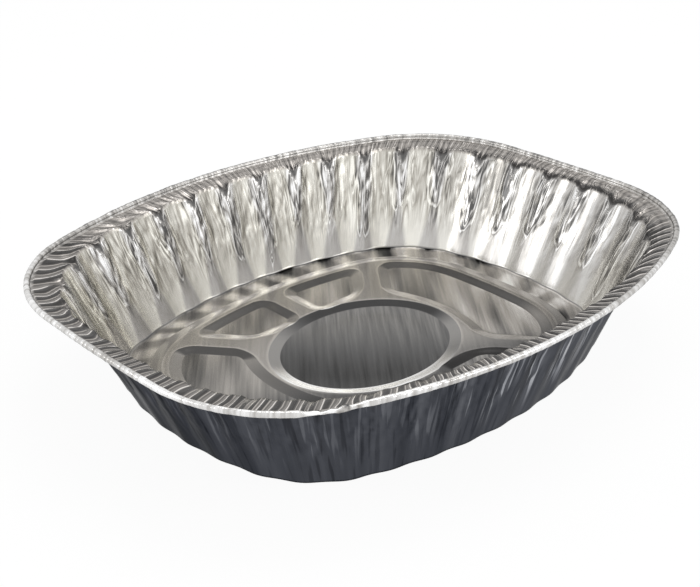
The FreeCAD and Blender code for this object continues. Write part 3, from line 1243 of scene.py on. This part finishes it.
@dataclass(frozen=True)
class FoilInside(Foil):
    """Upper side of the sheet on the rim and the wall, with painted reflections: yellowish grey with crisp
    painted highlights and shade on the folds.

    Attributes:
        cream: Painted yellowish reflection on the wall away from its right end.
        brown: Tint of the flange.
        fold_greys: Painted highlight round a gathered fold, and the painted dark and light reflections
            inside.
        crumple_greys: Painted light and dark reflections of the long narrow crumples.
        near_greys: Painted highlights on painted dark across one ridge of the near flange.
        far_greys: Painted grey reflections from the valley to the crest of a ridge of the far flange.
    """

    name: str = "foil_upper_side"
    edge: float = 0.8
    cream: tuple = (1.0, 0.98, 0.895, 1.0)
    brown: tuple = (1.0, 0.95, 0.91, 1.0)
    fold_greys: tuple = (
        (0.24, 0.50), (0.37, 0.40), (0.44, 1.0), (0.50, 0.60), (0.55, 0.12), (0.60, 0.45),
        (0.65, 0.36), (0.71, 1.0), (0.76, 0.34), (0.82, 0.15), (0.88, 0.85), (0.95, 0.25),
    )
    crumple_greys: tuple = (
        (0.28, 0.20), (0.34, 0.50), (0.385, 1.1), (0.43, 0.48), (0.46, 0.48), (0.50, -0.05),
        (0.54, 0.50), (0.58, 0.50), (0.625, 1.1), (0.67, 0.40), (0.74, 0.05),
    )
    near_greys: tuple = (
        (0.0, 0.26), (0.09, 0.18), (0.16, 0.95), (0.235, 0.10), (0.32, 0.05), (0.60, 0.06),
        (0.70, 0.12), (0.77, 0.50), (0.83, 0.14), (0.92, 0.16), (1.0, 0.26),
    )
    far_greys: tuple = (
        (0.10, 0.20), (0.35, 0.40), (0.50, 0.24), (0.60, 0.62), (0.68, 0.14), (0.85, 0.38),
        (0.92, 0.80), (1.0, 0.30),
    )

    def look(self, graph: Graph) -> tuple[Value, Value]:
        """Colour and fine relief of the rim and the wall.

        Args:
            graph: The finish's graph.

        Returns:
            The colour, and the height of the relief.
        """
        wall = graph.attribute("wall")
        flange = graph.attribute("flange")
        roll = graph.attribute("roll")
        crumpled = graph.attribute("crumpled")
        fine = graph.drawn(0.06, 540.0, 2.0)
        crimps = graph.drawn(0.10, 300.0, 2.0, 0.6)
        waves = graph.drawn(0.12, 120.0, 1.0, bent=0.7)
        crumple = graph.drawn(0.13, 165.0, 1.5, bent=1.0)
        folded = graph.attribute("fold") * 2.0 + (waves - 0.5) * 1.2 + 0.5
        tongues = graph.greys(folded, self.fold_greys) - 0.5
        glints = graph.greys(crumple, self.crumple_greys) - 0.5
        crest, ridges = self.ridges(graph, fine)
        # painted light and shade: reflections round the folds, glints on the crumples, and lines across the
        # flange's ridges and the roll's crimps
        wall_shade = tongues * 0.85 + glints * crumpled + (fine - 0.5) * (crumpled * 0.26 + 0.10)
        rim_shade = ridges * flange + (crimps - 0.5) * roll * 1.1
        shade = graph.attribute("tone") + wall_shade * wall + rim_shade
        shade = most(shade, wall * 0.12 + flange * 0.045 + roll * 0.10)
        # painted yellowish reflection on the wall away from its right end
        colour = graph.blend(graph.attribute("cream") * 0.8, graph.ramp(shade, WARM), self.cream, "MULTIPLY")
        colour = graph.blend(flange * 0.7, colour, self.brown, "MULTIPLY")
        relief = (folded - 0.5) * (crumpled * 0.35 + wall * 0.15) + (crumple - 0.5) * crumpled * 0.8
        return colour, relief + crest * flange * 0.5 + (crimps - 0.5) * roll * 0.7

    def ridges(self, graph: Graph, fine: Value) -> tuple[Value, Value]:
        """Cross ridges of the flange with painted light and shade: painted highlights on dark near the
        camera, grey painted reflections beyond.

        Args:
            graph: The finish's graph.
            fine: Fine noise, which makes the lines uneven.

        Returns:
            Height of the ridges, and their painted light and shade.
        """
        angle = fine.maths("ARCTAN2", graph.attribute("ridge_sin"), graph.attribute("ridge_cos"))
        crest = 1.0 - abs(angle) * (1.0 / math.pi)
        turn = angle * (0.5 / math.pi) + 0.5
        uneven = graph.drawn(0.35, 120.0, 1.0)
        near = graph.greys(turn + (uneven - 0.5) * 0.30, self.near_greys)
        far = graph.greys(crest + (fine - 0.5) * 1.1, self.far_greys)
        # the near flange gets painted highlights on dark, the far flange grey painted reflections
        share = (graph.attribute("far_side") - graph.attribute("right_side") * 0.3).step(0.30, 0.72)
        return crest, near * (1.0 - share) + far * share


@dataclass(frozen=True)
class FoilFloor(Foil):
    """Upper side of the sheet on the floor, streaked, with painted reflections: darker towards the near side,
    and the embossed slopes painted dark or light by which way they face.

    Attributes:
        emboss: The pressed pattern.
        reach: How far ahead the pattern is looked up to tell which way it slopes, for the painted shade and
            highlights of the slopes, in millimetres.
        reflection_tint: Painted yellowish reflection of the wall on the floor away from the near side and the
            medallion.
    """

    name: str = "foil_floor"
    emboss: Emboss = Emboss()
    reach: float = 0.6
    reflection_tint: tuple = (1.04, 1.0, 0.945, 1.0)

    def look(self, graph: Graph) -> tuple[Value, Value]:
        """Colour and fine relief of the floor.

        Args:
            graph: The finish's graph.

        Returns:
            The colour, and the height of the relief.
        """
        place = graph.node("ShaderNodeTexCoord", None, output="Object")
        parts = graph.node("ShaderNodeSeparateXYZ", None, place)
        x = graph.part(parts, 0) * (1.0 / MM)
        y = graph.part(parts, 1) * (1.0 / MM)
        along = x * FAR.x + y * FAR.y
        across = x * FAR.y - y * FAR.x
        level = self.emboss.level(abs(x), abs(y))
        ahead = self.emboss.level(abs(x + FAR.x * self.reach), abs(y + FAR.y * self.reach))
        facing = (ahead - level) * (self.emboss.sizes.web_slope / self.reach)
        streaks = graph.rolled(place, 26.0, 330.0, 2.0, 0.6)
        cloud = graph.rolled(place, 5.0, 42.0, 1.0, 0.5)
        # painted reflections: darker towards the near side, the medallion darker near and lighter far, the
        # panels lighter at the right and cloudy
        away = (along - across * 0.5).step(-72.0, -12.0) * 0.72 + 0.28
        right = across.step(20.0, 110.0)
        sunk = 1.0 - self.emboss.medallion_level(abs(x), abs(y)).step(0.97, 1.03)
        medallion = along.step(-50.0, 55.0) * 0.15 + 0.045
        panels = graph.attribute("tone") + (cloud - 0.5) * (right * 1.2 + 1.0) + right * 0.19
        streaked = right * 0.20 + 0.26 - sunk * 0.17 + sunk * along.step(-10.0, 50.0) * 0.22
        ground = panels * away + (medallion - panels * away) * sunk + (streaks - 0.5) * streaked
        # slopes painted dark or light by which way they face, with a painted highlight along the top of each
        # slope
        dark = facing.step(0.25, 0.75) * (along.step(-80.0, -30.0) * 0.6 + 0.4)
        light = (0.0 - facing).step(0.25, 0.85)
        side = away * 0.27 + (sunk * 0.50 + 0.28) * light - dark * (away * 0.19 + sunk * 0.03)
        web = away * 0.33 + (streaks - 0.5) * 0.14
        rim = level.step(0.94, 1.0) * (1.0 - level.step(1.05, 1.30))
        on_web = level.step(0.96, 1.02)
        on_slope = level.step(-0.02, 0.03) * (1.0 - on_web)
        shade = ground + (side - ground) * on_slope + (web - ground) * on_web
        shade = shade + rim * away * (0.07 + light * 0.20)
        # painted yellowish reflection of the wall, away from the near side and the medallion
        reflection_share = away * (1.0 - sunk) * 0.6
        return graph.blend(reflection_share, graph.ramp(shade, WARM), self.reflection_tint, "MULTIPLY"), (streaks - 0.5) * 0.10


@dataclass(frozen=True)
class FoilOutside(Foil):
    """Outer side of the sheet, seen on the skirt and underneath: a painted dark blue grey reflection with
    soft lighter streaks and thin painted highlights.
    """

    name: str = "foil_underside"
    roughness: float = 0.30
    edge: float = 0.38

    def look(self, graph: Graph) -> tuple[Value, Value]:
        """Colour and fine relief of the outer side.

        Args:
            graph: The finish's graph.

        Returns:
            The colour, and the height of the relief.
        """
        wall = graph.attribute("wall")
        crumpled = graph.attribute("crumpled")
        streaks = graph.drawn(0.07, 75.0, 2.0, 0.55)
        rain = graph.drawn(0.07, 260.0, 1.5, bent=0.4)
        # thin painted highlights, mostly at the right and where the foil is crumpled, and faint dark lines
        lines = rain.step(0.57, 0.65) * (graph.attribute("right_side") * 0.60 + 0.08) * crumpled
        lines = lines - (1.0 - rain.step(0.32, 0.44)) * 0.025
        shade = graph.attribute("skirt") + (streaks - 0.5) * 0.08 + lines * wall
        return graph.ramp(shade, COOL), (streaks - 0.5) * wall * 0.5 + (rain - 0.5) * crumpled * 0.6


def make_piece(form: bmesh.types.BMesh, name: str) -> bpy.types.Object:
    """Turn a finished form into a piece of the scene.

    Args:
        form: The form, which is freed.
        name: Name of the piece.

    Returns:
        The piece.
    """
    mesh = bpy.data.meshes.new(name)
    form.to_mesh(mesh)
    form.free()
    piece = bpy.data.objects.new(name, mesh)
    bpy.context.scene.collection.objects.link(piece)
    return piece


@dataclass
class Skin:
    """The sheet's mesh while it is swept, with the attributes that the finishes read.

    Attributes:
        wrap: Radius of the cylinder on which the foil's pattern is laid out, in metres.
        form: The mesh.
    """

    wrap: float = 0.2
    form: bmesh.types.BMesh = field(default_factory=bmesh.new)

    def __post_init__(self) -> None:
        """Make the attributes."""
        layers = self.form.verts.layers
        self.layers = {name: layers.float.new(name) for name in TONES + tuple(zone.value for zone in MASKED)}
        self.layers["sheet"] = layers.float_vector.new("sheet")
        self.layers["station"] = layers.int.new("station")

    def first_ring(self, count: int) -> tuple[list, list]:
        """A closed ring of points, numbered round.

        Args:
            count: Points in the ring.

        Returns:
            Its points and its edges.
        """
        made = bmesh.ops.create_circle(self.form, segments=count, radius=1.0, cap_ends=False)["verts"]
        for vert in made:
            turn = math.atan2(vert.co.y, vert.co.x) / (2.0 * math.pi) % 1.0
            vert[self.layers["station"]] = round(turn * count) % count
        inside = set(made)
        return made, [edge for edge in self.form.edges if edge.verts[0] in inside]

    def set_ring(self, verts: list, ring: Surface, down: float) -> None:
        """Move a ring's points to their places and give them their tones.

        Args:
            verts: The points.
            ring: Their places and tones.
            down: Mean way from the first ring of the sweep, in millimetres.
        """
        count = len(ring.place)
        tones = {name: np.broadcast_to(tone, count) for name, tone in ring.tones.items()}
        for vert in verts:
            number = vert[self.layers["station"]]
            vert.co = Vector(ring.place[number]) * MM
            for name, tone in tones.items():
                vert[self.layers[name]] = tone[number]
            for zone in MASKED:
                vert[self.layers[zone.value]] = float(ring.zone is zone)
            turn = 2.0 * math.pi * number / count
            round_pan = (self.wrap * math.cos(turn), self.wrap * math.sin(turn))
            vert[self.layers["sheet"]] = Vector((*round_pan, down * MM))

    def sweep(self, rings: list[Surface]) -> tuple[list, list]:
        """Extrude a ring of edges through every ring of places.

        Args:
            rings: Places and tones, ring by ring.

        Returns:
            The edges of the first ring and of the last.
        """
        verts, first = self.first_ring(len(rings[0].place))
        edges = first
        down = 0.0
        self.set_ring(verts, rings[0], down)
        for before, ring in zip(rings, rings[1:]):
            down += float(np.linalg.norm(ring.place - before.place, axis=1).mean())
            made = bmesh.ops.extrude_edge_only(self.form, edges=edges)["geom"]
            edges = [item for item in made if isinstance(item, bmesh.types.BMEdge)]
            self.set_ring([item for item in made if isinstance(item, bmesh.types.BMVert)], ring, down)
        return first, edges


@dataclass
class Pan:
    """The roasting pan: one sheet, pressed and rolled.

    Attributes:
        name: Name of the piece.
        sheet: Its form.
        thickness: Thickness of the foil in millimetres.
    """

    name: str = "foil_pan_sheet"
    sheet: FoilSheet = field(default_factory=FoilSheet)
    thickness: float = 0.32

    def build(self) -> bpy.types.Object:
        """Build the sheet's mesh and its thickness.

        Returns:
            The finished piece.
        """
        skin = Skin()
        form = skin.form
        _, wall_end = skin.sweep(self.sheet.wall_rings())
        floor_start, pole = skin.sweep(self.sheet.floor_rings())
        bmesh.ops.bridge_loops(form, edges=wall_end + floor_start)
        bmesh.ops.poke(form, faces=bmesh.ops.edgeloop_fill(form, edges=pole)["faces"])
        bmesh.ops.recalc_face_normals(form, faces=form.faces)
        middle = min(form.faces, key=lambda face: face.calc_center_median().length_squared)
        if middle.normal.z < 0.0:
            bmesh.ops.reverse_faces(form, faces=form.faces)
        masks = [skin.layers[zone.value] for zone in MASKED]
        for face in form.faces:
            face.smooth = True
            masked = any(vert[mask] > 0.5 for vert in face.verts for mask in masks)
            face.material_index = Side.INSIDE.value if masked else Side.FLOOR.value
        piece = make_piece(form, self.name)
        solid = piece.modifiers.new("gauge", "SOLIDIFY")
        solid.thickness = self.thickness * MM
        solid.offset = -1.0
        solid.material_offset = 1
        solid.material_offset_rim = 1
        return piece

    def dress(self, piece: bpy.types.Object) -> None:
        """Give both sides of the sheet their finish and tie the piece to the frame.

        Args:
            piece: The sheet.
        """
        outside = FoilOutside().make()
        for finish in (FoilInside().make(), outside, FoilFloor().make(), outside):
            piece.data.materials.append(finish)
        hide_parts(NODE)
        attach(piece, "root")


@dataclass
class Studio:
    """Pale floor, soft lamps and the camera.

    Attributes:
        width: Width of the picture in pixels.
        focal: Focal length in pixels.
        azimuth: Where the camera stands round the pan, in radians.
        elevation: How high the camera stands, in radians.
        roll: Tilt of the picture, in radians.
        distance: From the camera to the point that it looks at.
        target: The point that it looks at.
        aim: The point that the lamps point at.
        paper: Colour of the floor's paper.
        glow: Strength of the floor's own light.
        glow_share: Share of that light in what the camera sees of the floor.
        daylight: Strength of the surroundings as a light.
        lamps: Name, place, size and power in watts of each lamp.
    """

    width: float = 700.0
    focal: float = 1190.9
    azimuth: float = -0.7627
    elevation: float = 0.4701
    roll: float = 0.0031
    distance: float = 0.8772
    target: tuple[float, float, float] = (-0.0045, 0.01296, 0.0402)
    aim: tuple[float, float, float] = (0.0, 0.0, 0.04)
    paper: tuple = (0.86, 0.86, 0.86, 1.0)
    glow: float = 1.04
    glow_share: float = 0.9
    daylight: float = 0.55
    lamps: tuple = (
        ("key_lamp", (0.5, 0.2, 1.9), 1.1, 7.0),
        ("side_lamp", (-1.6, 0.9, 1.0), 0.9, 5.0),
        ("front_lamp", (0.9, -1.5, 1.1), 0.9, 5.0),
    )

    def add_camera(self) -> None:
        """Stand the camera where the photograph was taken from."""
        back = Vector((
            math.sin(self.azimuth) * math.cos(self.elevation),
            -math.cos(self.azimuth) * math.cos(self.elevation),
            math.sin(self.elevation),
        ))
        right = (-back).cross(Vector((0.0, 0.0, 1.0))).normalized()
        up = right.cross(-back)
        turned_right = right * math.cos(self.roll) + up * math.sin(self.roll)
        turned_up = up * math.cos(self.roll) - right * math.sin(self.roll)
        data = bpy.data.cameras.new("camera")
        data.sensor_fit = "HORIZONTAL"
        data.sensor_width = 36.0
        data.lens = data.sensor_width * self.focal / self.width
        data.clip_end = 50.0
        camera = bpy.data.objects.new("camera", data)
        turn = Matrix((turned_right, turned_up, back)).transposed().to_4x4()
        camera.matrix_world = Matrix.Translation(Vector(self.target) + back * self.distance) @ turn
        bpy.context.scene.collection.objects.link(camera)
        bpy.context.scene.camera = camera

    def add_floor(self) -> None:
        """Lay the pale floor under the pan."""
        form = bmesh.new()
        bmesh.ops.create_grid(form, x_segments=1, y_segments=1, size=6.0)
        bmesh.ops.translate(form, verts=form.verts, vec=(0.0, 0.0, -0.0002))
        floor = make_piece(form, "studio_floor")
        floor.data.materials.append(self.floor_finish())

    def seen(self, graph: Graph) -> Value:
        """Rays that show the background.

        Args:
            graph: The graph of a finish or of the world.

        Returns:
            1 for camera, glossy and transmission rays, and 0 for the others.
        """
        kinds = ("Camera", "Glossy", "Transmission")
        camera, glossy, through = (
            graph.node("ShaderNodeLightPath", None, output=f"Is {kind} Ray") for kind in kinds
        )
        return most(camera + glossy, through)

    def floor_finish(self) -> bpy.types.Material:
        """White paper that keeps the pan's shadow.

        Returns:
            The material.
        """
        graph = Graph(bpy.data.materials.new("studio_paper"))
        paper = graph.node("ShaderNodeBsdfDiffuse", None, self.paper)
        glow = graph.node("ShaderNodeEmission", None, WHITE, self.glow)
        mixed = graph.node("ShaderNodeMixShader", None, self.seen(graph) * self.glow_share, paper, glow)
        graph.node("ShaderNodeOutputMaterial", None, mixed)
        return graph.owner

    def add_world(self) -> None:
        """White surroundings to look at, at a plain level of light."""
        world = bpy.data.worlds.new("studio")
        bpy.context.scene.world = world
        graph = Graph(world)
        plain = graph.node("ShaderNodeBackground", None, WHITE, self.daylight)
        white = graph.node("ShaderNodeBackground", None, WHITE, 1.0)
        mixed = graph.node("ShaderNodeMixShader", None, self.seen(graph), plain, white)
        graph.node("ShaderNodeOutputWorld", None, mixed)

    def add_lamp(self, name: str, place: tuple, size: float, watts: float) -> None:
        """Hang a square soft lamp that points at the pan.

        Args:
            name: Name of the lamp.
            place: Where it hangs, in metres.
            size: Length of its side in metres.
            watts: Its power.
        """
        data = bpy.data.lights.new(name, "AREA")
        data.size = size
        data.energy = watts
        lamp = bpy.data.objects.new(name, data)
        aim = (Vector(self.aim) - Vector(place)).to_track_quat("-Z", "Y")
        lamp.matrix_world = Matrix.Translation(place) @ aim.to_matrix().to_4x4()
        bpy.context.scene.collection.objects.link(lamp)

    def build(self) -> None:
        """Set up the whole studio."""
        bpy.context.scene.view_settings.view_transform = "Standard"
        self.add_camera()
        self.add_floor()
        self.add_world()
        for lamp in self.lamps:
            self.add_lamp(*lamp)


def main() -> None:
    """Build the studio and the pan, and log the sheet's number of faces."""
    logging.basicConfig(level=logging.INFO, format="%(name)s: %(message)s")
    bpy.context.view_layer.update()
    Studio().build()
    LOG.info("studio is up")
    pan = Pan()
    piece = pan.build()
    pan.dress(piece)
    LOG.info("%s: %d faces before thickness", piece.name, len(piece.data.polygons))
    bpy.context.view_layer.update()


if __name__ == "__main__":
    main()
